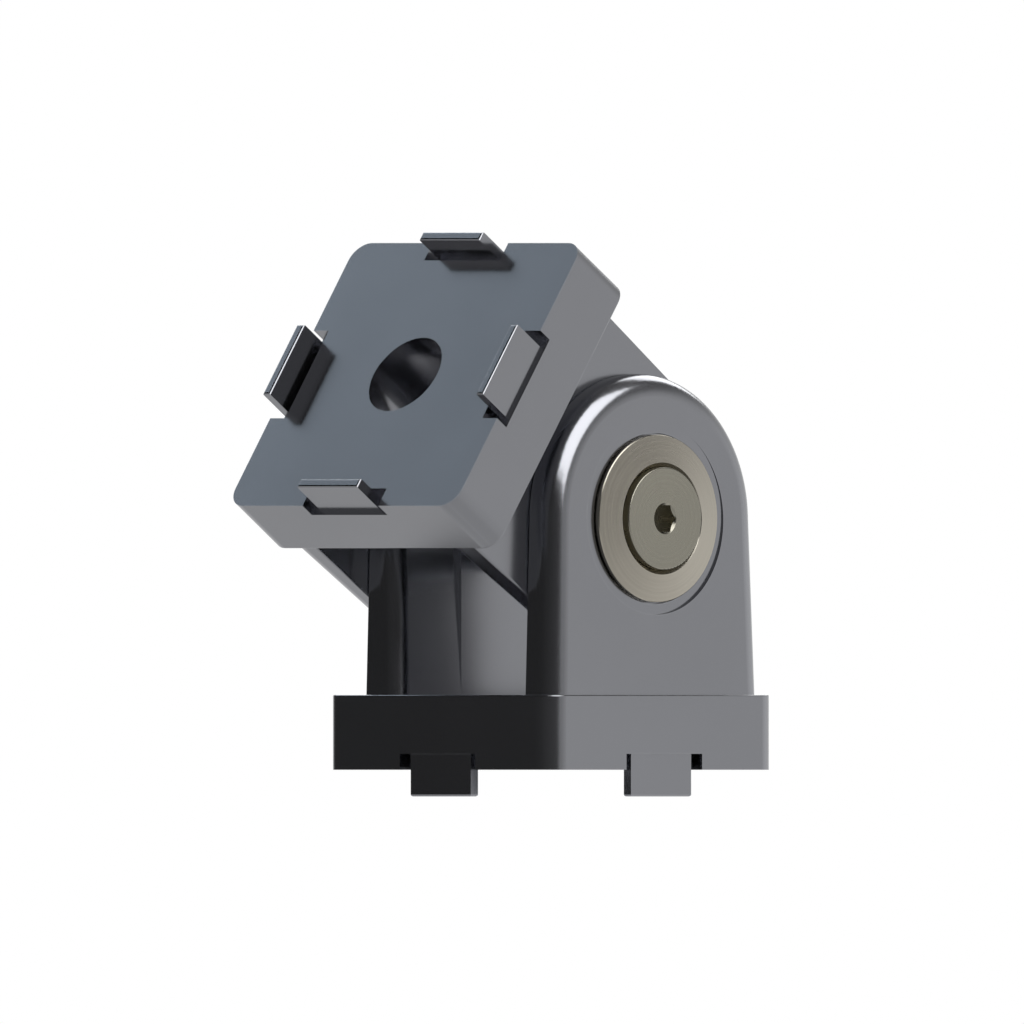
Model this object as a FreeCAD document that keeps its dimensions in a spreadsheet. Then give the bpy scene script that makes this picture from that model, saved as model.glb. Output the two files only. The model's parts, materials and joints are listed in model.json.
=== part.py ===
import FreeCAD, Part
import math
import os
import Sketcher

"""Profile pivot joint: two identical cast halves that interleave on a clamped pivot.

Lengths are millimetres and angles degrees. The frame is the lower half's: the origin is the centre
of the flange's mating face, +Z is up towards the pivot, and the pivot's axis runs along X. The
upper half is the same casting, turned end over end and leaning towards -Y by rest_tilt.
"""

# Driving sizes: alias in the sheet, value, meaning.
SIZES = (
    ("flange_width", 30.0, "side of the square flange, the width of the profile it is bolted to"),
    ("flange_thickness", 7.0, "flange, mating face to ear foot"),
    ("flange_corner", 2.0, "radius of the flange's upright corners"),
    ("flange_edge", 0.12, "rounding of the flange's edge on the ears' side"),
    ("bolt_bore", 8.4, "bore through the flange, clearance for an M8 screw"),
    ("profile_slot", 8.0, "opening of the profile's slot"),
    ("lug_slot_play", 0.05, "play of a lug in the slot"),
    ("lug_thickness", 0.95, "lug, across its thin way"),
    ("lug_inset", 0.43, "from the flange's side to the lug's outer face"),
    ("lug_reach", 2.5, "how far a lug stands out of the mating face"),
    ("lug_edge", 0.2, "rounding of the edges round a lug's tip"),
    ("notch_depth", 1.5, "relief notch round a lug's root, below the mating face"),
    ("notch_side_gap", 1.03, "notch beside the lug, each side"),
    ("notch_back_gap", 0.62, "notch behind the lug"),
    ("ear_set_in", 1.5, "from the flange's side to the ear's side, at the pivot"),
    ("ear_side_draft", 1.8, "draft of an ear's sides"),
    ("ear_tip_gap", 3.0, "air between an ear's tip and the other half's flange"),
    ("outer_face_set_in", 1.2, "from the flange's side to the outer ear's face, at the pivot"),
    ("outer_face_draft", 1.1, "draft of the outer ear's face"),
    ("outer_ear_thickness", 3.25, "outer ear, at the pivot"),
    ("ear_gap", 0.05, "air between an outer ear and the inner ear beside it"),
    ("inner_ear_thickness", 3.95, "inner ear, at the nut's seat"),
    ("inner_face_draft", 2.4, "draft of the inner ear's inner face"),
    ("outer_rim_radius", 2.1, "rounding of the outer ear's face round the arch"),
    ("inner_rim_radius", 1.85, "rounding of the inner ear's face round the arch"),
    ("mating_rim_radius", 0.2, "rounding of the ears' mating faces round the arch"),
    ("spot_face_depth", 0.15, "spot face under the bush's flange"),
    ("spot_face_margin", 1.15, "spot face beyond the bush's flange"),
    ("bush_sink_depth", 0.45, "pocket in the spot face, in which the bush's flange sits"),
    ("bush_sink_gap", 0.17, "radial, air round the bush's flange in its pocket"),
    ("bush_diameter", 10.0, "bush where the outer ear holds it"),
    ("journal_diameter", 8.0, "journal of the bush, on which the other half's ear turns"),
    ("bush_hole", 5.5, "hole through the bush, clearance for the screw's thread"),
    ("bush_flange_diameter", 15.7, "bush flange"),
    ("bush_rim", 0.57, "edge of the bush's flange above the spot face"),
    ("bush_rim_bevel", 0.08, "bevel round the bush flange's edge"),
    ("bush_cone_rise", 0.5, "rise of the bush flange from its edge to its mouth"),
    ("bush_end_gap", 0.2, "air between the bush's end and the nut"),
    ("bush_chamfer", 0.4, "lead-in at the journal's end"),
    ("bush_seat_clearance", 0.01, "radial, bush in the outer ear that holds it"),
    ("bush_running_clearance", 0.03, "radial, bush in the inner ear that turns on it"),
    ("screw_diameter", 5.0, "thread of the clamp screw, M5"),
    ("screw_head_sharp", 11.2, "countersunk head's cone carried on to the plane of its face"),
    ("screw_head_diameter", 9.6, "countersunk head as made"),
    ("screw_head_edge", 0.12, "rounding of the head's edge"),
    ("screw_head_proud", 0.4, "head's face above the bush's mouth"),
    ("screw_head_clearance", 0.05, "radial, between the head's cone and the bush's countersink"),
    ("screw_tip_gap", 1.0, "from a screw's tip to the middle of the nut"),
    ("screw_tip_chamfer", 0.5, "point of the screw"),
    ("screw_thread_clearance", 0.05, "radial, thread in the nut"),
    ("socket_width", 2.5, "hexagon socket across its flats"),
    ("socket_mouth", 2.95, "diameter of the socket's countersunk mouth"),
    ("socket_mouth_slope", 45.0, "slope of the mouth's cone, from the head's face"),
    ("socket_depth", 2.0, "hexagon socket"),
    ("nut_diameter", 10.0, "pivot nut"),
    ("nut_chamfer", 0.5, "chamfer at the nut's ends"),
    ("nut_seat_margin", 0.3, "flat seat on the inner ear beyond the nut, each side"),
    ("nut_end_gap", 0.05, "air between the nut and the upper half's inner ear"),
    ("rest_tilt", 55.0, "lean of the upper half as stored"),
)

SHEET = "Sizes"
SIDES = ("right", "back", "left", "front")   # quarter turns about +Z, starting at +X
NEAR = 1e-4                                  # two coordinates closer than this are the same


class Size:
    """A number and the spreadsheet expression that gives it, kept together."""

    def __init__(self, value, text):
        self.value = value
        self.text = text

    @staticmethod
    def of(other):
        """Takes a plain number as a size of its own."""
        return other if isinstance(other, Size) else Size(float(other), repr(float(other)))

    def __add__(self, other):
        other = Size.of(other)
        return Size(self.value + other.value, f"({self.text} + {other.text})")

    def __sub__(self, other):
        other = Size.of(other)
        return Size(self.value - other.value, f"({self.text} - {other.text})")

    def __mul__(self, other):
        other = Size.of(other)
        return Size(self.value * other.value, f"({self.text} * {other.text})")

    def __truediv__(self, other):
        other = Size.of(other)
        return Size(self.value / other.value, f"({self.text} / {other.text})")

    def __neg__(self):
        return Size(-self.value, f"(0 - {self.text})")


def sine(angle):
    """Sine of a size in degrees."""
    return Size(math.sin(math.radians(angle.value)), f"sin({angle.text})")


def cosine(angle):
    """Cosine of a size in degrees."""
    return Size(math.cos(math.radians(angle.value)), f"cos({angle.text})")


def tangent(angle):
    """Tangent of a size in degrees."""
    return Size(math.tan(math.radians(angle.value)), f"tan({angle.text})")


class Dimensions:
    """The driving sizes by name, and the sizes that follow from them."""

    def __init__(self):
        for alias, value, _ in SIZES:
            setattr(self, alias, Size(value, f"{SHEET}.{alias}"))
        half_flange = self.flange_width / 2
        # ears, seen along the pivot
        self.ear_radius = half_flange - self.ear_set_in
        self.pivot_height = self.flange_thickness + self.ear_radius + self.ear_tip_gap
        self.ear_top = self.pivot_height + self.ear_radius
        draft_rise = (self.pivot_height - self.flange_thickness) * sine(self.ear_side_draft)
        self.ear_foot_half = (self.ear_radius + draft_rise) / cosine(self.ear_side_draft)
        # places along the pivot, counted outwards from the middle
        self.outer_face = half_flange - self.outer_face_set_in
        self.outer_ear_inside = self.outer_face - self.outer_ear_thickness
        self.inner_ear_outside = self.outer_ear_inside - self.ear_gap
        self.nut_seat = self.inner_ear_outside - self.inner_ear_thickness
        self.spot_face = self.outer_face - self.spot_face_depth
        self.bush_sink = self.spot_face - self.bush_sink_depth
        self.bush_edge = self.spot_face + self.bush_rim
        self.bush_mouth = self.bush_edge + self.bush_cone_rise
        self.head_face = self.bush_mouth + self.screw_head_proud
        # lugs
        self.lug_width = self.profile_slot - self.lug_slot_play
        self.lug_outside = half_flange - self.lug_inset
        self.lug_inside = self.lug_outside - self.lug_thickness


def fill_sheet(doc):
    """Writes the driving sizes into the document's spreadsheet."""
    sheet = doc.addObject("Spreadsheet::Sheet", SHEET)
    for row, (alias, value, meaning) in enumerate(SIZES, start=1):
        sheet.set(f"A{row}", alias)
        sheet.set(f"B{row}", str(value))
        sheet.set(f"C{row}", meaning)
        sheet.setAlias(f"B{row}", alias)
    doc.recompute()


# ---- sketches -----------------------------------------------------------------------------------

def new_sketch(body, name, plane, offset=None):
    """Starts a sketch on one of the body's origin planes, moved along the plane's normal."""
    sketch = body.newObject("Sketcher::SketchObject", name)
    origin_plane = next(item for item in body.Origin.OriginFeatures if item.Role == plane)
    sketch.AttachmentSupport = [(origin_plane, "")]
    sketch.MapMode = "FlatFace"
    if offset is not None:
        sketch.setExpression("AttachmentOffset.Base.z", offset.text)
    return sketch


def pin_down(sketch, geometry, point, across, up):
    """Ties one point of a sketch to its place from the sketch's origin."""
    for kind, size in (("DistanceX", across), ("DistanceY", up)):
        index = sketch.addConstraint(
            Sketcher.Constraint(kind, -1, 1, geometry, point, size.value))
        sketch.setExpression(f"Constraints[{index}]", size.text)


def set_radius(sketch, geometry, radius):
    """Ties a circle's or an arc's radius to its size."""
    index = sketch.addConstraint(Sketcher.Constraint("Radius", geometry, radius.value))
    sketch.setExpression(f"Constraints[{index}]", radius.text)


def draw_circle(sketch, across, up, radius):
    """Draws a circle tied to its place and radius."""
    centre = FreeCAD.Vector(across.value, up.value, 0)
    geometry = sketch.addGeometry(Part.Circle(centre, FreeCAD.Vector(0, 0, 1), radius.value))
    pin_down(sketch, geometry, 3, across, up)
    set_radius(sketch, geometry, radius)


class Bend:
    """An arc from one corner of an outline to the next, round a centre."""

    def __init__(self, across, up, radius, clockwise=False):
        self.across = across
        self.up = up
        self.radius = radius
        self.clockwise = clockwise

    def geometry(self, start, end):
        """The arc between two points, which a sketch always keeps counter-clockwise."""
        if self.clockwise:
            start, end = end, start
        centre = FreeCAD.Vector(self.across.value, self.up.value, 0)
        first = math.atan2(start.y - centre.y, start.x - centre.x)
        last = math.atan2(end.y - centre.y, end.x - centre.x)
        if last <= first:
            last += 2 * math.pi
        circle = Part.Circle(centre, FreeCAD.Vector(0, 0, 1), self.radius.value)
        return Part.ArcOfCircle(circle, first, last)


def draw_outline(sketch, corners):
    """Draws a closed outline. Each corner is (across, up) or (across, up, Bend to the next one)."""
    points = [FreeCAD.Vector(Size.of(c[0]).value, Size.of(c[1]).value, 0) for c in corners]
    sides = []
    for number, corner in enumerate(corners):
        start = points[number]
        end = points[(number + 1) % len(points)]
        bend = corner[2] if len(corner) > 2 else None
        shape = bend.geometry(start, end) if bend else Part.LineSegment(start, end)
        geometry = sketch.addGeometry(shape)
        first, last = (2, 1) if bend and bend.clockwise else (1, 2)
        pin_down(sketch, geometry, first, Size.of(corner[0]), Size.of(corner[1]))
        if bend:
            set_radius(sketch, geometry, bend.radius)
        sides.append((geometry, first, last))
    for number, (geometry, _, last) in enumerate(sides):
        following, first, _ = sides[(number + 1) % len(sides)]
        sketch.addConstraint(Sketcher.Constraint("Coincident", geometry, last, following, first))


def draw_rectangle(sketch, left, right, bottom, top):
    """Draws an upright rectangle between four places."""
    draw_outline(sketch, [(left, bottom), (right, bottom), (right, top), (left, top)])


# ---- features -----------------------------------------------------------------------------------

def pad(body, name, sketch, length, midplane=False, reverse=False):
    """Adds the sketch's outline to the body, one way or both ways."""
    feature = body.newObject("PartDesign::Pad", name)
    feature.Profile = sketch
    feature.Midplane = midplane
    feature.Reversed = reverse
    feature.setExpression("Length", length.text)
    body.Document.recompute()
    return feature


def pocket(body, name, sketch, length, midplane=False, reverse=False):
    """Cuts the sketch's outline out of the body, and makes sure that it cut something."""
    before = body.Shape.Volume
    feature = body.newObject("PartDesign::Pocket", name)
    feature.Profile = sketch
    feature.Midplane = midplane
    feature.Reversed = reverse
    feature.setExpression("Length", length.text)
    body.Document.recompute()
    if body.Shape.Volume >= before - NEAR:
        raise RuntimeError(f"{body.Label}: {name} cuts nothing")
    return feature


def revolve(body, name, sketch):
    """Turns the sketch's outline about its own horizontal axis."""
    feature = body.newObject("PartDesign::Revolution", name)
    feature.Profile = sketch
    feature.ReferenceAxis = (sketch, ["H_Axis"])
    feature.Angle = 360.0
    body.Document.recompute()
    return feature


def dress(body, kind, name, wanted, size):
    """Rounds or bevels the edges of the body's tip that a test picks."""
    base = body.Tip
    edges = [f"Edge{i}" for i, edge in enumerate(base.Shape.Edges, start=1) if wanted(edge)]
    if not edges:
        raise RuntimeError(f"{body.Label}: {name} finds no edge")
    feature = body.newObject(f"PartDesign::{kind}", name)
    feature.Base = (base, edges)
    feature.setExpression("Radius" if kind == "Fillet" else "Size", size.text)
    body.Document.recompute()
    return feature


def flat_at(edge, axis, place):
    """Whether an edge lies in the plane at this place along this axis."""
    box = edge.BoundBox
    low = getattr(box, f"{axis}Min")
    high = getattr(box, f"{axis}Max")
    return abs(low - place.value) < NEAR and abs(high - place.value) < NEAR


def is_upright(edge):
    """Whether an edge runs along Z."""
    return edge.BoundBox.XLength < NEAR and edge.BoundBox.YLength < NEAR


# ---- the cast half ------------------------------------------------------------------------------

def arch_outline(sketch, dims, foot):
    """Draws what lies outside the ears' arch, from the foot up: a frame with the arch cut out."""
    draft = dims.ear_side_draft
    foot_half = dims.ear_foot_half
    shoulder = dims.ear_radius * cosine(draft)
    shoulder_up = dims.pivot_height + dims.ear_radius * sine(draft)
    beyond = dims.flange_width
    above = dims.ear_top + dims.ear_tip_gap
    over = Bend(Size.of(0), dims.pivot_height, dims.ear_radius, clockwise=True)
    draw_outline(sketch, [
        (-beyond, foot), (-foot_half, foot), (-shoulder, shoulder_up, over), (shoulder, shoulder_up),
        (foot_half, foot), (beyond, foot), (beyond, above), (-beyond, above)])


def ear_sections(sketch, dims):
    """Draws both ears cut across: outer ear on the right, inner ear on the left."""
    foot = dims.flange_thickness
    root = foot / 2
    outer_slope = tangent(dims.outer_face_draft)
    outer_foot = dims.outer_face + (dims.pivot_height - foot) * outer_slope
    outer_top = dims.outer_face - dims.ear_radius * outer_slope
    draw_outline(sketch, [
        (dims.outer_ear_inside, root), (outer_foot, root), (outer_foot, foot),
        (outer_top, dims.ear_top), (dims.outer_ear_inside, dims.ear_top)])

    inner_top = -dims.nut_seat - (dims.ear_top - foot) * tangent(dims.inner_face_draft)
    draw_outline(sketch, [
        (-dims.inner_ear_outside, root), (-dims.nut_seat, root), (-dims.nut_seat, foot),
        (inner_top, dims.ear_top), (-dims.inner_ear_outside, dims.ear_top)])


def seat_outline(sketch, dims):
    """Draws the nut's seat: a round pad on the pivot, carried straight down to the flange."""
    half = dims.nut_diameter / 2 + dims.nut_seat_margin
    over = Bend(Size.of(0), dims.pivot_height, half)
    root = dims.flange_thickness / 2
    draw_outline(sketch, [
        (-half, root), (half, root), (half, dims.pivot_height, over),
        (Size.of(0), dims.pivot_height + half, over), (-half, dims.pivot_height)])


def cast_half(doc, label, dims):
    """Builds one casting: flange, outer ear on +X, inner ear on -X, bores and relief notches."""
    body = doc.addObject("PartDesign::Body", label)
    body.Label = label
    half = dims.flange_width / 2
    foot = dims.flange_thickness

    square = new_sketch(body, "flange_outline", "XY_Plane")
    draw_rectangle(square, -half, half, -half, half)
    pad(body, "flange", square, dims.flange_thickness)
    dress(body, "Fillet", "flange_corners", is_upright, dims.flange_corner)
    dress(body, "Fillet", "flange_edges", lambda edge: flat_at(edge, "Z", foot), dims.flange_edge)

    sections = new_sketch(body, "ear_sections", "XZ_Plane")
    ear_sections(sections, dims)
    pad(body, "ears", sections, (dims.ear_foot_half + dims.flange_edge) * 2, midplane=True)
    outside = new_sketch(body, "outside_arch", "YZ_Plane")
    arch_outline(outside, dims, foot)
    pocket(body, "arch", outside, dims.flange_width * 2, midplane=True)

    def is_rim(edge, low, high):
        """Whether an edge climbs round an ear's arch between two places along X."""
        box = edge.BoundBox
        climbs = box.ZMax > foot.value + NEAR and box.ZLength > NEAR
        return climbs and low.value - NEAR < box.XMin and box.XMax < high.value + NEAR

    outer_foot = dims.outer_face + dims.pivot_height * tangent(dims.outer_face_draft)
    outer_top = dims.outer_face - dims.ear_radius * tangent(dims.outer_face_draft)
    dress(body, "Fillet", "outer_rim",
          lambda edge: is_rim(edge, outer_top, outer_foot), dims.outer_rim_radius)
    inner_top = -dims.nut_seat - (dims.ear_top - foot) * tangent(dims.inner_face_draft)
    dress(body, "Fillet", "inner_rim",
          lambda edge: is_rim(edge, inner_top, Size.of(0)), dims.inner_rim_radius)
    dress(body, "Fillet", "mating_rims",
          lambda edge: is_rim(edge, dims.outer_ear_inside, dims.outer_ear_inside)
          or is_rim(edge, -dims.inner_ear_outside, -dims.inner_ear_outside),
          dims.mating_rim_radius)

    behind = -dims.nut_seat - dims.inner_ear_thickness / 2
    seat = new_sketch(body, "nut_seat_outline", "YZ_Plane", behind)
    seat_outline(seat, dims)
    pad(body, "nut_seat", seat, dims.inner_ear_thickness / 2)

    holding = new_sketch(body, "bush_seat_outline", "YZ_Plane", dims.outer_ear_inside - dims.ear_gap)
    draw_circle(holding, Size.of(0), dims.pivot_height,
                dims.bush_diameter / 2 + dims.bush_seat_clearance)
    pocket(body, "bush_seat", holding, dims.flange_width, reverse=True)
    running = new_sketch(body, "bush_bearing_outline", "YZ_Plane")
    draw_circle(running, Size.of(0), dims.pivot_height,
                dims.journal_diameter / 2 + dims.bush_running_clearance)
    pocket(body, "bush_bearing", running, dims.flange_width)
    spot = new_sketch(body, "spot_face_outline", "YZ_Plane", dims.spot_face)
    draw_circle(spot, Size.of(0), dims.pivot_height,
                dims.bush_flange_diameter / 2 + dims.spot_face_margin)
    pocket(body, "spot_face", spot, dims.flange_width, reverse=True)
    sink = new_sketch(body, "bush_sink_outline", "YZ_Plane", dims.bush_sink)
    draw_circle(sink, Size.of(0), dims.pivot_height,
                dims.bush_flange_diameter / 2 + dims.bush_sink_gap)
    pocket(body, "bush_sink", sink, dims.flange_width, reverse=True)

    bore = new_sketch(body, "bolt_bore_outline", "XY_Plane")
    draw_circle(bore, Size.of(0), Size.of(0), dims.bolt_bore / 2)
    pocket(body, "bolt_bore", bore, dims.flange_thickness, reverse=True)

    notch = new_sketch(body, "notch_outline", "XY_Plane")
    notch_half = dims.lug_width / 2 + dims.notch_side_gap
    draw_rectangle(notch, dims.lug_inside - dims.notch_back_gap, dims.flange_width,
                   -notch_half, notch_half)
    first = pocket(body, "notch", notch, dims.notch_depth, reverse=True)
    notches = body.newObject("PartDesign::PolarPattern", "notches")
    notches.Originals = [first]
    notches.Axis = (notch, ["N_Axis"])
    notches.Angle = 360.0
    notches.Occurrences = len(SIDES)
    body.Tip = notches
    doc.recompute()
    return body


# ---- the smaller pieces -------------------------------------------------------------------------

def slot_lug(doc, label, dims):
    """Builds one lug on the +X side: a thin plate from the notch's floor out past the face."""
    body = doc.addObject("PartDesign::Body", label)
    body.Label = label
    outline = new_sketch(body, "lug_outline", "YZ_Plane", dims.lug_inside)
    half = dims.lug_width / 2
    draw_rectangle(outline, -half, half, -dims.lug_reach, dims.notch_depth)
    pad(body, "lug", outline, dims.lug_thickness)
    dress(body, "Fillet", "lug_edges",
          lambda edge: flat_at(edge, "Z", -dims.lug_reach), dims.lug_edge)
    return body


def flanged_bush(doc, label, dims):
    """Builds a bush along +X: journal, conical flange and a countersink for the screw's head."""
    body = doc.addObject("PartDesign::Body", label)
    body.Label = label
    section = new_sketch(body, "bush_section", "XY_Plane")
    hole = dims.bush_hole / 2
    journal = dims.journal_diameter / 2
    held = dims.bush_diameter / 2
    edge = dims.bush_flange_diameter / 2
    bevel = dims.bush_rim_bevel
    end = dims.nut_seat + dims.bush_end_gap
    mouth = dims.screw_head_sharp / 2 - dims.screw_head_proud + dims.screw_head_clearance
    cone_root = dims.bush_mouth - mouth + hole
    draw_outline(section, [
        (end, hole), (cone_root, hole), (dims.bush_mouth, mouth), (dims.bush_edge, edge - bevel),
        (dims.bush_edge - bevel, edge), (dims.bush_sink, edge), (dims.bush_sink, held),
        (dims.outer_ear_inside, held), (dims.outer_ear_inside, journal),
        (end + dims.bush_chamfer, journal), (end, journal - dims.bush_chamfer)])
    revolve(body, "bush", section)
    return body


def clamp_screw(doc, label, dims):
    """Builds a countersunk screw along +X, with a hexagon socket in its face."""
    body = doc.addObject("PartDesign::Body", label)
    body.Label = label
    section = new_sketch(body, "screw_section", "XY_Plane")
    shank = dims.screw_diameter / 2
    head = dims.screw_head_diameter / 2
    cone_start = dims.head_face - (dims.screw_head_sharp / 2 - head)
    cone_end = dims.head_face - (dims.screw_head_sharp / 2 - shank)
    tip = dims.screw_tip_gap
    face_edge = head - dims.screw_head_edge
    socket_mouth = dims.socket_mouth / 2
    socket_cone = dims.head_face - socket_mouth * tangent(dims.socket_mouth_slope)
    draw_outline(section, [
        (tip, Size.of(0)), (socket_cone, Size.of(0)), (dims.head_face, socket_mouth),
        (dims.head_face, face_edge,
         Bend(dims.head_face - dims.screw_head_edge, face_edge, dims.screw_head_edge)),
        (dims.head_face - dims.screw_head_edge, head), (cone_start, head), (cone_end, shank),
        (tip + dims.screw_tip_chamfer, shank), (tip, shank - dims.screw_tip_chamfer)])
    revolve(body, "screw", section)

    socket = new_sketch(body, "socket_outline", "YZ_Plane", dims.head_face)
    flat = dims.socket_width / 2
    corner = flat / cosine(Size.of(30))
    draw_outline(socket, [
        (corner, Size.of(0)), (corner / 2, flat), (-corner / 2, flat),
        (-corner, Size.of(0)), (-corner / 2, -flat), (corner / 2, -flat)])
    pocket(body, "socket", socket, dims.socket_depth)
    return body


def pivot_nut(doc, label, dims):
    """Builds the round nut between the two inner ears, threaded from both ends."""
    body = doc.addObject("PartDesign::Body", label)
    body.Label = label
    section = new_sketch(body, "nut_section", "XY_Plane")
    hole = dims.screw_diameter / 2 + dims.screw_thread_clearance
    outside = dims.nut_diameter / 2
    left = -dims.nut_seat
    right = dims.nut_seat - dims.nut_end_gap
    cut = dims.nut_chamfer
    draw_outline(section, [
        (left, hole), (right, hole), (right, outside - cut), (right - cut, outside),
        (left + cut, outside), (left, outside - cut)])
    revolve(body, "nut", section)
    return body


# ---- places -------------------------------------------------------------------------------------

def place(body, *steps):
    """Sets the body's place as a chain of moves, each the text of a placement."""
    body.setExpression("Placement", " * ".join(steps))


def move(across, along, up):
    """A shift by three sizes."""
    return f"placement(vector({across.text}; {along.text}; {up.text}); rotation(vector(0; 0; 1); 0))"


def turn(axis, angle):
    """A turn about an axis through the origin, by degrees."""
    return f"placement(vector(0; 0; 0); rotation(vector({axis}); {angle.text}))"


def build(doc, dims):
    """Builds every piece in its place and returns the bodies."""
    zero = Size.of(0)
    about_x = "1; 0; 0"
    about_y = "0; 1; 0"
    about_z = "0; 0; 1"
    at_pivot = move(zero, zero, dims.pivot_height)
    stay = move(zero, zero, zero)
    # end over end about the pivot, then leant towards -Y
    leaning = " * ".join((at_pivot, turn(about_x, dims.rest_tilt), turn(about_y, Size.of(180)),
                          move(zero, zero, -dims.pivot_height)))
    bodies = []
    for which, where in (("lower", stay), ("upper", leaning)):
        half = cast_half(doc, f"{which}_half", dims)
        place(half, where)
        bodies.append(half)
        for quarter, side in enumerate(SIDES):
            lug = slot_lug(doc, f"{which}_lug_{side}", dims)
            place(lug, where, turn(about_z, Size.of(90 * quarter)))
            bodies.append(lug)
    for side, facing in (("right", zero), ("left", Size.of(180))):
        for make, name in ((flanged_bush, "bush"), (clamp_screw, "clamp_screw")):
            piece = make(doc, f"{side}_{name}", dims)
            place(piece, at_pivot, turn(about_z, facing))
            bodies.append(piece)
    nut = pivot_nut(doc, "pivot_nut", dims)
    place(nut, at_pivot)
    bodies.append(nut)
    doc.recompute()
    return bodies


def check(doc, bodies):
    """Stops if anything in the document failed, or a piece is not one sound solid."""
    for item in doc.Objects:
        if "Invalid" in item.State or "Error" in item.State:
            raise RuntimeError(f"{item.Label} failed: {item.State}")
        if item.TypeId == "Sketcher::SketchObject" and not item.FullyConstrained:
            raise RuntimeError(f"{item.Label} is not fully constrained")
    for body in bodies:
        shape = body.Shape
        if shape.isNull() or not shape.isValid() or len(shape.Solids) != 1:
            raise RuntimeError(f"{body.Label} is not one valid solid")


def write(bodies):
    """Writes each piece to its own file."""
    os.makedirs("parts", exist_ok=True)
    for body in bodies:
        body.Shape.exportStep(os.path.join("parts", f"{body.Label}.step"))


def main():
    """Builds, checks and writes the joint."""
    doc = FreeCAD.newDocument("profile_pivot_joint")
    fill_sheet(doc)
    bodies = build(doc, Dimensions())
    check(doc, bodies)
    write(bodies)
    for body in bodies:
        print(f"{body.Label}: {body.Shape.Volume:.1f} mm3")


main()
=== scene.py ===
"""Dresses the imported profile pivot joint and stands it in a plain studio."""

from __future__ import annotations

import json
import logging
import math
from dataclasses import dataclass, field
from enum import Enum
from typing import Any

import bmesh
import bpy
from mathutils import Matrix, Vector

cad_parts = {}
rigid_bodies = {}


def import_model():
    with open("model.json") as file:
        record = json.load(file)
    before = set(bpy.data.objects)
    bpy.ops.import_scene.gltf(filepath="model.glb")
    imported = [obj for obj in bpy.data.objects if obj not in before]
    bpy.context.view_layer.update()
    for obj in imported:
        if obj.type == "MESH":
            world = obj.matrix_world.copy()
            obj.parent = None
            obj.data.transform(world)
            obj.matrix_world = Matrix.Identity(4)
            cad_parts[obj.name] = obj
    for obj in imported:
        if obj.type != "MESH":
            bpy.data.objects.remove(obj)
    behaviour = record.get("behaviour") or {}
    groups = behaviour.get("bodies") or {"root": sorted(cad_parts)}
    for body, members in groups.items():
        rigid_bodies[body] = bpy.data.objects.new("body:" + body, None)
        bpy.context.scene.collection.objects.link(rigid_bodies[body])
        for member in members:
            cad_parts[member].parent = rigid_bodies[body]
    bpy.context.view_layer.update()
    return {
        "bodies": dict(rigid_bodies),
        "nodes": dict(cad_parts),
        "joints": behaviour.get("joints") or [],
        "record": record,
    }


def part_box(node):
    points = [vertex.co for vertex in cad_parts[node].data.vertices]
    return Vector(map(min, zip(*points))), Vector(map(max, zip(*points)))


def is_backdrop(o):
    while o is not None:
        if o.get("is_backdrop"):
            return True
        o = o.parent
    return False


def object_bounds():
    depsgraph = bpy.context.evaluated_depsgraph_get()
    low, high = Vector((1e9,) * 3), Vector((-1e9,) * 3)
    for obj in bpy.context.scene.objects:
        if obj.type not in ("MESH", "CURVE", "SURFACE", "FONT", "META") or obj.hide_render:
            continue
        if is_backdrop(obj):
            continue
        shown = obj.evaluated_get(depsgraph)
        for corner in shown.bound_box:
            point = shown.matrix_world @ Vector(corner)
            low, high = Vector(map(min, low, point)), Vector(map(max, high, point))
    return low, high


LOG = logging.getLogger("profile_pivot_joint")
MM = 0.001
RIGHT_ANGLE = 90.0
HALF_TURN = 180.0
WHITE = (1.0, 1.0, 1.0)

Colour = tuple[float, float, float]
Pair = tuple[float, float]
Stops = tuple[Pair, ...]
Socket = bpy.types.NodeSocket


def direction(azimuth: float, elevation: float) -> Vector:
    """Gives a unit vector.

    Args:
        azimuth: degrees from +X towards +Y.
        elevation: degrees above the horizon.

    Returns:
        The vector.
    """
    turn, rise = math.radians(azimuth), math.radians(elevation)
    level = math.cos(rise)
    return Vector((math.cos(turn) * level, math.sin(turn) * level, math.sin(rise)))


# ---- node trees ----------------------------------------------------------------------------------


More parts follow.
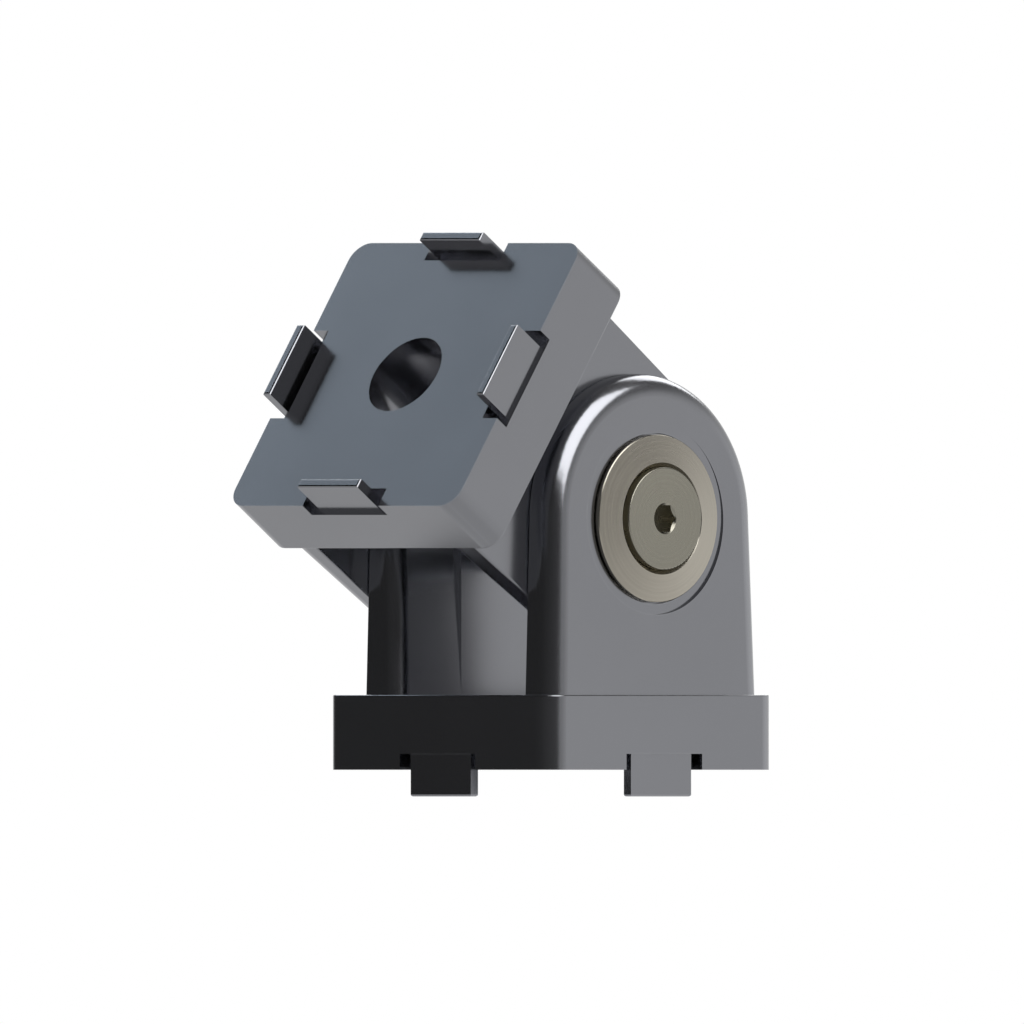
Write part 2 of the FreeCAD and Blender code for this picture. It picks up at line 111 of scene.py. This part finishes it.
class Graph:
    """A node tree under construction, with short ways to add and join nodes."""

    def __init__(self, tree: bpy.types.NodeTree) -> None:
        """Takes over a tree and empties it.

        Args:
            tree: the tree to build in.
        """
        self.tree = tree
        tree.nodes.clear()

    def add(self, kind: str, **settings: Any) -> bpy.types.Node:
        """Adds a node.

        Args:
            kind: the node's type without its ShaderNode prefix, or a type that starts with Node.
            settings: properties to set on the node.

        Returns:
            The new node.
        """
        node = self.tree.nodes.new(kind if kind.startswith("Node") else f"ShaderNode{kind}")
        for name, value in settings.items():
            setattr(node, name, value)
        return node

    def feed(self, socket: Socket, value: Any) -> None:
        """Gives an input a link or a constant.

        Args:
            socket: the input to fill.
            value: an output socket, a number, a vector or a colour.
        """
        if isinstance(value, bpy.types.NodeSocket):
            self.tree.links.new(value, socket)
        elif socket.type == "RGBA" and len(value) == 3:
            socket.default_value = (*value, 1.0)
        else:
            socket.default_value = value

    def fill(self, node: bpy.types.Node, *values: Any) -> bpy.types.Node:
        """Fills a node's inputs in order.

        Args:
            node: the node.
            values: links or constants.

        Returns:
            The node.
        """
        for socket, value in zip(node.inputs, values):
            self.feed(socket, value)
        return node

    def maths(self, operation: str, *values: Any) -> Socket:
        """Adds a Math node.

        Args:
            operation: the node's operation.
            values: its inputs in order.

        Returns:
            The node's output.
        """
        return self.fill(self.add("Math", operation=operation), *values).outputs[0]

    def vector(self, operation: str, *values: Any) -> bpy.types.Node:
        """Adds a Vector Math node.

        Args:
            operation: the node's operation.
            values: its inputs in order.

        Returns:
            The node.
        """
        return self.fill(self.add("VectorMath", operation=operation), *values)

    def mix(self, share: Any, first: Any, second: Any, blend: str = "MIX") -> Socket:
        """Mixes two colours.

        Args:
            share: how much of the second, 0 to 1.
            first: a colour or a socket.
            second: a colour or a socket.
            blend: the way to mix.

        Returns:
            The mixed colour.
        """
        node = self.add("Mix", data_type="RGBA", blend_type=blend)
        self.feed(node.inputs[0], share)
        self.feed(node.inputs[6], first)
        self.feed(node.inputs[7], second)
        return node.outputs[2]

    def span(self, value: Any, source: Pair, target: Pair, smooth: bool = False) -> Socket:
        """Carries a value from one range to another, and holds it there.

        Args:
            value: the value.
            source: the range that it comes from.
            target: what the ends of that range become.
            smooth: whether the step is an S-curve.

        Returns:
            The new value.
        """
        node = self.add("MapRange", interpolation_type="SMOOTHSTEP" if smooth else "LINEAR")
        return self.fill(node, value, *source, *target).outputs[0]

    def ramp(self, place: Socket, stops: Stops) -> Socket:
        """Reads a grey off a ramp.

        Args:
            place: where on the ramp, 0 to 1.
            stops: pairs of place and level.

        Returns:
            The grey.
        """
        node = self.add("ValToRGB")
        ends = node.color_ramp.elements
        while len(ends) > 1:
            ends.remove(ends[-1])
        (ends[0].position, first), *others = stops
        ends[0].color = (first, first, first, 1.0)
        for stop, level in others:
            ends.new(stop).color = (level, level, level, 1.0)
        self.feed(node.inputs[0], place)
        return node.outputs[0]

    def noise(self, place: Socket, scale: Any, detail: float, roughness: float = 0.5) -> Socket:
        """Adds cloudy noise.

        Args:
            place: the coordinates.
            scale: waves a metre.
            detail: how many finer layers.
            roughness: how strong the finer layers are.

        Returns:
            The noise, 0 to 1.
        """
        node = self.add("TexNoise")
        self.feed(node.inputs["Vector"], place)
        self.feed(node.inputs["Scale"], scale)
        self.feed(node.inputs["Detail"], detail)
        self.feed(node.inputs["Roughness"], roughness)
        return node.outputs[0]

    def choose(self, share: Any, first: Socket, second: Socket) -> Socket:
        """Mixes two shaders.

        Args:
            share: how much of the second, 0 to 1.
            first: a shader.
            second: a shader.

        Returns:
            The mixed shader.
        """
        return self.fill(self.add("MixShader"), share, first, second).outputs[0]


def begin(name: str) -> tuple[bpy.types.Material, Graph]:
    """Starts a material.

    Args:
        name: its name.

    Returns:
        The material and its empty tree.
    """
    made = bpy.data.materials.new(name)
    made.use_nodes = True
    return made, Graph(made.node_tree)


class Effect:
    """A shader node group that several finishes share."""

    def __init__(self, name: str, takes: dict[str, float], gives: tuple[str, ...]) -> None:
        """Starts the group.

        Args:
            name: the group's name.
            takes: its inputs and their usual values.
            gives: its outputs, each a number that changes over the surface.
        """
        self.tree = bpy.data.node_groups.new(name, "ShaderNodeTree")
        self.graph = Graph(self.tree)
        sockets = self.tree.interface
        for label, usual in takes.items():
            taken = sockets.new_socket(label, in_out="INPUT", socket_type="NodeSocketFloat")
            taken.default_value = usual
        for label in gives:
            sockets.new_socket(label, in_out="OUTPUT", socket_type="NodeSocketFloat")
        self.given = self.graph.add("NodeGroupInput").outputs
        self.wanted = self.graph.add("NodeGroupOutput").inputs

    def place(self, graph: Graph, **values: float) -> bpy.types.NodeOutputs:
        """Puts the effect into a material.

        Args:
            graph: the material's tree.
            values: its inputs in this material.

        Returns:
            The effect's outputs.
        """
        node = graph.add("Group", node_tree=self.tree)
        for label, value in values.items():
            graph.feed(node.inputs[label], value)
        return node.outputs


class EdgeWear(Effect):
    """Where handling has polished the sharp edges.

    Attributes:
        REACH: how far in from an edge the wear goes, in metres.
        BEND: how far the surface bends where the wear starts, and where it is full.
        PATCHES: the noise levels between which the wear grows.
        LEAST: the least wear on a sharp edge.
    """

    REACH = 0.22 * MM
    BEND = (0.02, 0.2)
    PATCHES = (0.35, 0.65)
    LEAST = 0.35

    def __init__(self) -> None:
        """Builds the group."""
        super().__init__("edge_wear", {"Breakup": 900.0}, ("Wear",))
        graph = self.graph
        rounded = graph.add("Bevel", samples=4)
        graph.feed(rounded.inputs["Radius"], self.REACH)
        true = graph.add("NewGeometry").outputs["Normal"]
        likeness = graph.vector("DOT_PRODUCT", rounded.outputs[0], true).outputs["Value"]
        bend = graph.maths("SUBTRACT", 1.0, likeness)
        sharp = graph.span(bend, self.BEND, (0.0, 1.0), smooth=True)
        place = graph.add("TexCoord").outputs["Object"]
        cloudy = graph.noise(place, self.given["Breakup"], 3.0)
        patchy = graph.span(cloudy, self.PATCHES, (self.LEAST, 1.0))
        graph.feed(self.wanted["Wear"], graph.maths("MULTIPLY", sharp, patchy))


class MetalSkin(Effect):
    """Grain, faint clouds and pits of a metal surface.

    Attributes:
        PITTED: a cell is pitted where its random colour is shorter than this.
        PIT: a pit's floor and rim, as shares of its cell.
    """

    PITTED = 0.35
    PIT = (0.1, 0.3)

    def __init__(self) -> None:
        """Builds the group."""
        takes = {"Grain": 2200.0, "Clouds": 90.0, "Pits": 1500.0}
        super().__init__("metal_skin", takes, ("Grain", "Cloud", "Pit"))
        graph = self.graph
        place = graph.add("TexCoord").outputs["Object"]
        graph.feed(self.wanted["Grain"], graph.noise(place, self.given["Grain"], 4.0, 0.6))
        graph.feed(self.wanted["Cloud"], graph.noise(place, self.given["Clouds"], 3.0, 0.55))
        cells = graph.add("TexVoronoi", feature="F1")
        graph.feed(cells.inputs["Vector"], place)
        graph.feed(cells.inputs["Scale"], self.given["Pits"])
        length = graph.vector("LENGTH", cells.outputs["Color"]).outputs["Value"]
        rare = graph.maths("LESS_THAN", length, self.PITTED)
        dot = graph.span(cells.outputs["Distance"], self.PIT, (1.0, 0.0), smooth=True)
        graph.feed(self.wanted["Pit"], graph.maths("MULTIPLY", rare, dot))


class TurningMarks(Effect):
    """Fine rings that a lathe leaves round the pivot's axis.

    Attributes:
        WAVER: how far a ring strays, in rings.
        WAVES: how often it strays, waves a metre.
        BANDS: how often the rings' strength changes along the radius, waves a metre.
    """

    WAVER = 0.8
    WAVES = 160.0
    BANDS = 3800.0

    def __init__(self, axis_height: float) -> None:
        """Builds the group.

        Args:
            axis_height: height of the pivot's axis.
        """
        super().__init__("turning_marks", {"Pitch": 0.12 * MM}, ("Groove", "Band"))
        graph = self.graph
        place = graph.add("TexCoord").outputs["Object"]
        centred = graph.vector("SUBTRACT", place, (0.0, 0.0, axis_height)).outputs[0]
        flat = graph.vector("MULTIPLY", centred, (0.0, 1.0, 1.0)).outputs[0]
        radius = graph.vector("LENGTH", flat).outputs["Value"]
        turns = graph.maths("DIVIDE", radius, self.given["Pitch"])
        stray = graph.maths("MULTIPLY", graph.noise(centred, self.WAVES, 2.0), self.WAVER)
        phase = graph.maths("MULTIPLY", graph.maths("ADD", turns, stray), math.tau)
        wave = graph.maths("SINE", phase)
        graph.feed(self.wanted["Groove"], graph.span(wave, (-1.0, 1.0), (0.0, 1.0)))
        bands = graph.add("TexNoise", noise_dimensions="1D")
        graph.feed(bands.inputs["W"], radius)
        graph.feed(bands.inputs["Scale"], self.BANDS)
        graph.feed(bands.inputs["Detail"], 3.0)
        graph.feed(self.wanted["Band"], bands.outputs[0])


@dataclass
class Effects:
    """The shared effects, built once.

    Attributes:
        axis_height: height of the pivot's axis.
    """

    axis_height: float
    wear: EdgeWear = field(init=False)
    skin: MetalSkin = field(init=False)
    turning: TurningMarks = field(init=False)

    def __post_init__(self) -> None:
        """Builds the groups."""
        self.wear = EdgeWear()
        self.skin = MetalSkin()
        self.turning = TurningMarks(self.axis_height)


# ---- finishes ------------------------------------------------------------------------------------


class Slot(Enum):
    """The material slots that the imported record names."""

    CASTING = "casting"
    BUSH = "bush_metal"
    SCREW = "screw_metal"
    NUT = "nut_metal"


@dataclass(frozen=True)
class MetalFinish:
    """A bare or plated metal with grain, clouds, pits and worn edges.

    Attributes:
        name: the material's name.
        colour: linear base colour.
        worn: base colour of a polished edge.
        roughness: how satin it is, 0 to 1.
        grain: fineness of the grain, waves a metre.
        pits: how many cells for pits a metre.
        tone: how far the grain and the clouds move the colour.
        satin: how far they move the roughness.
        relief: height of the grain and the depth of the pits, in metres.
        groove: depth of the turning marks, in metres, or 0 for none.
        pitch: spacing of the turning marks, in metres.
        cloud_share: how much of the tone is clouds; the rest is grain.
        common: the range in which nearly all of a noise lies.
        banded: the range in which nearly all of the bands' noise lies.
        band_tone: what the bands do to the colour.
        band_satin: what they do to the roughness.
        pit_tone: how much of its colour the floor of a pit keeps.
    """

    name: str
    colour: Colour
    worn: Colour
    roughness: float
    grain: float
    pits: float
    tone: float
    satin: float
    relief: float
    groove: float = 0.0
    pitch: float = 0.12 * MM
    cloud_share: float = 0.7
    common: Pair = (0.25, 0.75)
    banded: Pair = (0.3, 0.7)
    band_tone: Pair = (0.97, 1.03)
    band_satin: Pair = (0.9, 1.12)
    pit_tone: float = 0.92

    def material(self, effects: Effects) -> bpy.types.Material:
        """Builds the material.

        Args:
            effects: the shared effects.

        Returns:
            The material.
        """
        made, graph = begin(self.name)
        skin = effects.skin.place(graph, Grain=self.grain, Pits=self.pits)
        wear = effects.wear.place(graph)["Wear"]
        fine = graph.maths("MULTIPLY", skin["Grain"], 1.0 - self.cloud_share)
        grey = graph.maths("MULTIPLY_ADD", skin["Cloud"], self.cloud_share, fine)
        shade = graph.span(grey, self.common, (1.0 - self.tone, 1.0 + self.tone))
        satin = (self.roughness - self.satin, self.roughness + self.satin)
        rough = graph.span(skin["Cloud"], self.common, satin)
        height = graph.maths("SUBTRACT", graph.maths("MULTIPLY", skin["Grain"], 0.5), skin["Pit"])
        height = graph.maths("MULTIPLY", height, self.relief)
        if self.groove:
            marks = effects.turning.place(graph, Pitch=self.pitch)
            bands = graph.span(marks["Band"], self.banded, self.band_tone)
            shade = graph.maths("MULTIPLY", shade, bands)
            bands = graph.span(marks["Band"], self.banded, self.band_satin)
            rough = graph.maths("MULTIPLY", rough, bands)
            height = graph.maths("MULTIPLY_ADD", marks["Groove"], self.groove, height)
        pitted = graph.span(skin["Pit"], (0.0, 1.0), (1.0, self.pit_tone))
        colour = graph.vector("SCALE", self.colour)
        graph.feed(colour.inputs["Scale"], graph.maths("MULTIPLY", shade, pitted))
        shader = graph.add("BsdfPrincipled")
        graph.feed(shader.inputs["Base Color"], graph.mix(wear, colour.outputs[0], self.worn))
        graph.feed(shader.inputs["Metallic"], 1.0)
        graph.feed(shader.inputs["Roughness"], rough)
        bump = graph.add("Bump")
        graph.feed(bump.inputs["Distance"], 1.0)
        graph.feed(bump.inputs["Height"], height)
        graph.feed(shader.inputs["Normal"], bump.outputs[0])
        graph.feed(graph.add("OutputMaterial").inputs["Surface"], shader.outputs[0])
        return made


class Stock:
    """The materials, each made when it is first asked for."""

    def __init__(self, effects: Effects) -> None:
        """Starts with no materials.

        Args:
            effects: the shared effects.
        """
        self.effects = effects
        self.made: dict[Slot, bpy.types.Material] = {}

    def fetch(self, slot: Slot, finish: MetalFinish) -> bpy.types.Material:
        """Gives a slot's material.

        Args:
            slot: the slot.
            finish: what to make the material from, where it isn't made yet.

        Returns:
            The material.
        """
        if slot not in self.made:
            self.made[slot] = finish.material(self.effects)
        return self.made[slot]


# ---- the joint's sub-assemblies ------------------------------------------------------------------


@dataclass
class SubAssembly:
    """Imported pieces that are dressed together.

    Attributes:
        title: what the sub-assembly is called in the log.
        pieces: its nodes and their finishes.
    """

    title: str = field(init=False)
    pieces: dict[str, MetalFinish] = field(init=False)

    def dress(self, frame: dict[str, Any], slots: dict[str, Slot], stock: Stock) -> None:
        """Gives each node the material of its slot, and reports it.

        Args:
            frame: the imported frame.
            slots: each node's slot.
            stock: the materials.
        """
        for name, finish in self.pieces.items():
            node = frame["nodes"][name]
            material = stock.fetch(slots[name], finish)
            if not node.data.materials:
                node.data.materials.append(material)
            for index in range(len(node.data.materials)):
                node.data.materials[index] = material
            low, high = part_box(name)
            extent = ((high[axis] - low[axis]) / MM for axis in range(3))
            LOG.info("%s: %s in %s, %.1f x %.1f x %.1f mm", self.title, name, material.name,
                     *extent)


@dataclass
class CastHalf(SubAssembly):
    """A die-cast half with its four slot lugs.

    Attributes:
        end: which half it is, lower or upper.
        skin_relief: height of the casting skin's grain, in metres.
        grain: fineness of that grain, waves a metre.
        pits: how many cells for pits a metre.
        lug_sides: the sides of the flange that have a lug.
    """

    end: str
    skin_relief: float = 0.0008 * MM
    grain: float = 2400.0
    pits: float = 2600.0
    lug_sides: tuple[str, ...] = ("right", "back", "left", "front")

    def __post_init__(self) -> None:
        """Lists the half and its lugs."""
        self.title = f"{self.end} half"
        lugs = (f"{self.end}_lug_{side}" for side in self.lug_sides)
        self.pieces = dict.fromkeys((f"{self.end}_half", *lugs), self.casting())

    def casting(self) -> MetalFinish:
        """Gives the dark skin of the casting."""
        return MetalFinish("dark_die_casting", (0.2165, 0.22, 0.235), (0.27, 0.275, 0.29), 0.2,
                           grain=self.grain, pits=self.pits, tone=0.03, satin=0.007,
                           relief=self.skin_relief)


@dataclass
class Clamp(SubAssembly):
    """A flanged bush and the countersunk screw that pulls it in.

    Attributes:
        side: which end of the pivot it is on, right or left.
        bush_pitch: spacing of the turning marks on the bush, in metres.
        bush_groove: their depth.
        bush_relief: height of the bush's grain.
        screw_pitch: spacing of the turning marks on the screw.
        screw_groove: their depth.
        screw_relief: height of the screw's grain.
    """

    side: str
    bush_pitch: float = 0.13 * MM
    bush_groove: float = 0.0008 * MM
    bush_relief: float = 0.0006 * MM
    screw_pitch: float = 0.1 * MM
    screw_groove: float = 0.0006 * MM
    screw_relief: float = 0.0008 * MM

    def __post_init__(self) -> None:
        """Lists the bush and the screw."""
        self.title = f"{self.side} clamp"
        self.pieces = {f"{self.side}_bush": self.nickel(),
                       f"{self.side}_clamp_screw": self.steel()}

    def nickel(self) -> MetalFinish:
        """Gives the bush's satin nickel."""
        return MetalFinish("satin_nickel", (0.3, 0.28, 0.24), (0.4, 0.38, 0.33), 0.24,
                           grain=5200.0, pits=3000.0, tone=0.04, satin=0.03,
                           relief=self.bush_relief, groove=self.bush_groove,
                           pitch=self.bush_pitch)

    def steel(self) -> MetalFinish:
        """Gives the screw's passivated steel."""
        return MetalFinish("passivated_steel", (0.235, 0.225, 0.188), (0.33, 0.315, 0.27), 0.27,
                           grain=4200.0, pits=3000.0, tone=0.05, satin=0.03,
                           relief=self.screw_relief, groove=self.screw_groove,
                           pitch=self.screw_pitch)


@dataclass
class Middle(SubAssembly):
    """The nut between the inner ears.

    Attributes:
        pitch: spacing of its turning marks, in metres.
        groove: their depth.
        relief: height of its grain.
    """

    pitch: float = 0.16 * MM
    groove: float = 0.001 * MM
    relief: float = 0.001 * MM

    def __post_init__(self) -> None:
        """Lists the nut."""
        self.title = "middle"
        self.pieces = {"pivot_nut": self.zinc()}

    def zinc(self) -> MetalFinish:
        """Gives the nut's zinc plate."""
        return MetalFinish("zinc_plate", (0.42, 0.425, 0.43), (0.55, 0.55, 0.55), 0.3,
                           grain=3600.0, pits=3000.0, tone=0.06, satin=0.05,
                           relief=self.relief, groove=self.groove, pitch=self.pitch)


# ---- studio --------------------------------------------------------------------------------------


def stand(name: str, shape: bmesh.types.BMesh, material: bpy.types.Material,
          mirrored: bool) -> None:
    """Stands something in the studio that isn't part of the joint.

    Args:
        name: the object's name.
        shape: its mesh, which is used up.
        material: its material.
        mirrored: whether only metal sees it, as a mirror does, or all but metal.
    """
    mesh = bpy.data.meshes.new(name)
    shape.to_mesh(mesh)
    shape.free()
    mesh.materials.append(material)
    made = bpy.data.objects.new(name, mesh)
    bpy.context.scene.collection.objects.link(made)
    made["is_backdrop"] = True
    made.visible_glossy = mirrored
    made.visible_camera = made.visible_diffuse = not mirrored
    made.visible_shadow = made.visible_transmission = not mirrored


class Glow:
    """A cloth's glow, which is plain grey for light that has met the joint more than once.

    Attributes:
        GROWTH: how much brighter the grey is at each further meeting, so that deep gaps
            aren't black.
        SECOND: the ray depth of the second meeting.
    """

    GROWTH = 3.2
    SECOND = 2.0

    def __init__(self, name: str) -> None:
        """Starts the material.

        Args:
            name: its name.
        """
        self.material, self.graph = begin(name)

    def light(self, level: Any, inner: float) -> bpy.types.Material:
        """Finishes the material.

        Args:
            level: the cloth's colour, or the socket that gives it.
            inner: the plain grey's level at the second meeting.

        Returns:
            The material.
        """
        graph = self.graph
        depth = graph.add("LightPath").outputs["Ray Depth"]
        further = graph.maths("SUBTRACT", depth, self.SECOND)
        grey = graph.maths("MULTIPLY", graph.maths("POWER", self.GROWTH, further), inner)
        again = graph.maths("GREATER_THAN", depth, self.SECOND - 0.5)
        glow = graph.fill(graph.add("Emission"), graph.mix(again, level, grey), 1.0)
        graph.feed(graph.add("OutputMaterial").inputs["Surface"], glow.outputs[0])
        return self.material


@dataclass(frozen=True)
class SoftBox:
    """A flat lamp with a glowing cloth that metal mirrors once.

    Attributes:
        name: the lamp's name.
        azimuth: where it hangs, in degrees from +X towards +Y.
        elevation: how high it hangs, in degrees.
        turn: how far it is turned in its own plane, in degrees.
        sides: its two sides, as shares of its distance.
        radiance: how bright its face looks.
        shift: how far it is moved sideways and up in its plane, as shares of its distance.
        colour: its linear colour.
    """

    name: str
    azimuth: float
    elevation: float
    turn: float
    sides: Pair
    radiance: float
    shift: Pair = (0.0, 0.0)
    colour: Colour = WHITE

    def build(self, distance: float, inner: float) -> None:
        """Hangs the lamp and its cloth.

        Args:
            distance: how far off it hangs, in metres.
            inner: level at which light that has met the joint more than once sees the cloth.
        """
        back = direction(self.azimuth, self.elevation)
        level = direction(self.azimuth + RIGHT_ANGLE, 0.0)
        up = direction(self.azimuth + HALF_TURN, RIGHT_ANGLE - self.elevation)
        turn = math.radians(self.turn)
        first = math.cos(turn) * level + math.sin(turn) * up
        second = back.cross(first)
        centre = (back + self.shift[0] * level + self.shift[1] * up) * distance
        place = Matrix.Translation(centre) @ Matrix((first, second, back)).transposed().to_4x4()
        width, depth = (side * distance for side in self.sides)
        data = bpy.data.lights.new(self.name, "AREA")
        data.shape = "RECTANGLE"
        data.size, data.size_y = width, depth
        data.energy = self.radiance * math.pi * width * depth
        data.color = self.colour
        lamp = bpy.data.objects.new(self.name, data)
        lamp.matrix_world = place
        lamp.visible_camera = lamp.visible_glossy = False
        bpy.context.scene.collection.objects.link(lamp)
        shape = bmesh.new()
        bmesh.ops.create_grid(shape, x_segments=1, y_segments=1, size=0.5)
        bmesh.ops.scale(shape, vec=(width, depth, 1.0), verts=shape.verts)
        bmesh.ops.transform(shape, matrix=place, verts=shape.verts)
        tint = tuple(part * self.radiance for part in self.colour)
        glow = Glow(f"{self.name}_glow").light(tint, inner)
        stand(f"{self.name}_cloth", shape, glow, mirrored=True)


@dataclass
class Studio:
    """A plain floor, soft boxes, a light tent and the camera.

    Attributes:
        azimuth: where the camera stands, in degrees from -Y towards +X.
        width: how much the camera sees, in metres.
        right: how far the camera looks past the axis.
        height: the height at which it looks.
        stand_off: how far off the camera is.
        clip: the nearest and the furthest that it sees.
        boxes: the soft boxes.
        distance: how far off the soft boxes hang.
        tent_radius: size of the tent.
        tent_parts: how many segments and rings the tent has.
        around: the tent's level by angle round the joint.
        rise: its level by angle above the horizon.
        low: sines of the angles between which the tent's low part brightens downwards.
        low_level: the least level of its low part.
        inner: level at which later reflections see the surroundings.
        room: level of the even light.
        paper: the floor's colour.
        floor_half: half of the floor's side.
        floor_gap: how far the floor is below the joint.
    """

    azimuth: float = 45.0
    width: float = 0.09577
    right: float = -3.64 * MM
    height: float = 24.11 * MM
    stand_off: float = 0.3
    clip: Pair = (0.01, 5.0)
    boxes: tuple[SoftBox, ...] = (
        SoftBox("key", 1.9, 41.2, -35.1, (0.965, 1.1), 4.2, shift=(-0.067, 0.109)),
        SoftBox("back", 125.0, 39.0, 0.0, (0.85, 0.58), 3.7),
        SoftBox("side", -174.0, 37.4, 116.3, (0.5, 0.35), 2.8, colour=(0.67, 0.77, 0.86)),
    )
    distance: float = 2.0
    tent_radius: float = 4.0
    tent_parts: tuple[int, int] = (48, 24)
    around: Stops = (
        (-180, 0.09), (-165, 0.06), (-148, 0.06), (-135, 0.06), (-99, 0.06), (-75, 0.08),
        (-51, 0.09), (-30, 0.09), (-14, 0.11), (-5, 0.2), (5, 0.58), (19, 0.65), (31, 0.83),
        (45, 1.0), (57, 1.16), (66, 1.3), (84, 1.15), (105, 1.0), (130, 0.9), (161, 0.79),
        (171, 0.3), (180, 0.09),
    )
    rise: Stops = (
        (-90, 1.0), (-40, 1.0), (-22, 1.12), (-8, 1.05), (0, 1.0), (8, 0.88), (15, 0.72),
        (22, 0.5), (30, 0.28), (38, 0.19), (90, 0.18),
    )
    low: Pair = (-0.22, -0.1)
    low_level: float = 0.84
    inner: float = 0.6
    room: float = 0.5
    paper: Colour = (0.8, 0.8, 0.8)
    floor_half: float = 3.0
    floor_gap: float = 0.05 * MM

    def camera(self) -> None:
        """Adds the camera."""
        turn = math.radians(self.azimuth)
        back = Vector((math.sin(turn), -math.cos(turn), 0.0))
        side = Vector((math.cos(turn), math.sin(turn), 0.0))
        data = bpy.data.cameras.new("camera")
        data.type = "ORTHO"
        data.ortho_scale = self.width
        data.clip_start, data.clip_end = self.clip
        made = bpy.data.objects.new("camera", data)
        middle = side * self.right + Vector((0.0, 0.0, self.height))
        made.location = middle + back * self.stand_off
        made.rotation_euler = (math.radians(RIGHT_ANGLE), 0.0, turn)
        bpy.context.scene.collection.objects.link(made)
        bpy.context.scene.camera = made

    def world(self) -> None:
        """Lights the room evenly and shows it white."""
        world = bpy.data.worlds.new("studio")
        world.use_nodes = True
        bpy.context.scene.world = world
        graph = Graph(world.node_tree)
        path = graph.add("LightPath").outputs
        seen = path["Is Camera Ray"]
        for kind in ("Is Glossy Ray", "Is Transmission Ray"):
            seen = graph.maths("MAXIMUM", seen, path[kind])
        room = graph.fill(graph.add("Background"), WHITE, self.room)
        white = graph.fill(graph.add("Background"), WHITE, 1.0)
        either = graph.choose(seen, room.outputs[0], white.outputs[0])
        graph.feed(graph.add("OutputWorld").inputs[0], either)

    def tent(self) -> None:
        """Stands a light tent round the joint, pale behind and below, and dark in front."""
        glow = Glow("tent_glow")
        graph = glow.graph
        place = graph.add("TexCoord").outputs["Object"]
        unit = graph.vector("NORMALIZE", place).outputs[0]
        parts = graph.fill(graph.add("SeparateXYZ"), unit).outputs
        turn = graph.maths("ARCTAN2", parts[1], parts[0])
        turn = graph.maths("MULTIPLY_ADD", turn, 1.0 / math.tau, 0.5)
        lift = graph.maths("MULTIPLY_ADD", graph.maths("ARCSINE", parts[2]), 1.0 / math.pi, 0.5)
        full = 2.0 * HALF_TURN
        ring = graph.ramp(turn, tuple((at / full + 0.5, level) for at, level in self.around))
        low = graph.span(parts[2], self.low, (self.low_level, 0.0), smooth=True)
        ring = graph.maths("MAXIMUM", ring, low)
        high = graph.ramp(lift, tuple((at / HALF_TURN + 0.5, level) for at, level in self.rise))
        cloth = glow.light(graph.mix(1.0, ring, high, "MULTIPLY"), self.inner)
        shape = bmesh.new()
        segments, rings = self.tent_parts
        bmesh.ops.create_uvsphere(shape, u_segments=segments, v_segments=rings,
                                  radius=self.tent_radius)
        stand("tent", shape, cloth, mirrored=True)

    def floor(self) -> None:
        """Lays the floor just below the joint; it is clear from below."""
        shape = bmesh.new()
        bmesh.ops.create_grid(shape, x_segments=1, y_segments=1, size=self.floor_half)
        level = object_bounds()[0].z - self.floor_gap
        bmesh.ops.translate(shape, verts=shape.verts, vec=(0.0, 0.0, level))
        paper, graph = begin("floor_paper")
        matt = graph.fill(graph.add("BsdfDiffuse"), self.paper).outputs[0]
        clear = graph.add("BsdfTransparent").outputs[0]
        below = graph.add("NewGeometry").outputs["Backfacing"]
        either = graph.choose(below, matt, clear)
        graph.feed(graph.add("OutputMaterial").inputs["Surface"], either)
        stand("floor", shape, paper, mirrored=False)

    def build(self) -> None:
        """Builds the whole studio."""
        self.camera()
        self.world()
        self.tent()
        for box in self.boxes:
            box.build(self.distance, self.inner)
        self.floor()
        bpy.context.scene.view_settings.view_transform = "Standard"
        LOG.info("studio: tent %.1f m, soft boxes at %.1f m", self.tent_radius, self.distance)


def main() -> None:
    """Dresses the joint and builds the studio round it."""
    logging.basicConfig(level=logging.INFO, format="%(name)s: %(message)s")
    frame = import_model()
    slots = {part["node"]: Slot(part["material_slot"]) for part in frame["record"]["subparts"]}
    low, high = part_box("right_bush")
    stock = Stock(Effects((low[2] + high[2]) / 2))
    for unit in (CastHalf("lower"), CastHalf("upper"), Clamp("right"), Clamp("left"), Middle()):
        unit.dress(frame, slots, stock)
    Studio().build()


if __name__ == "__main__":
    main()
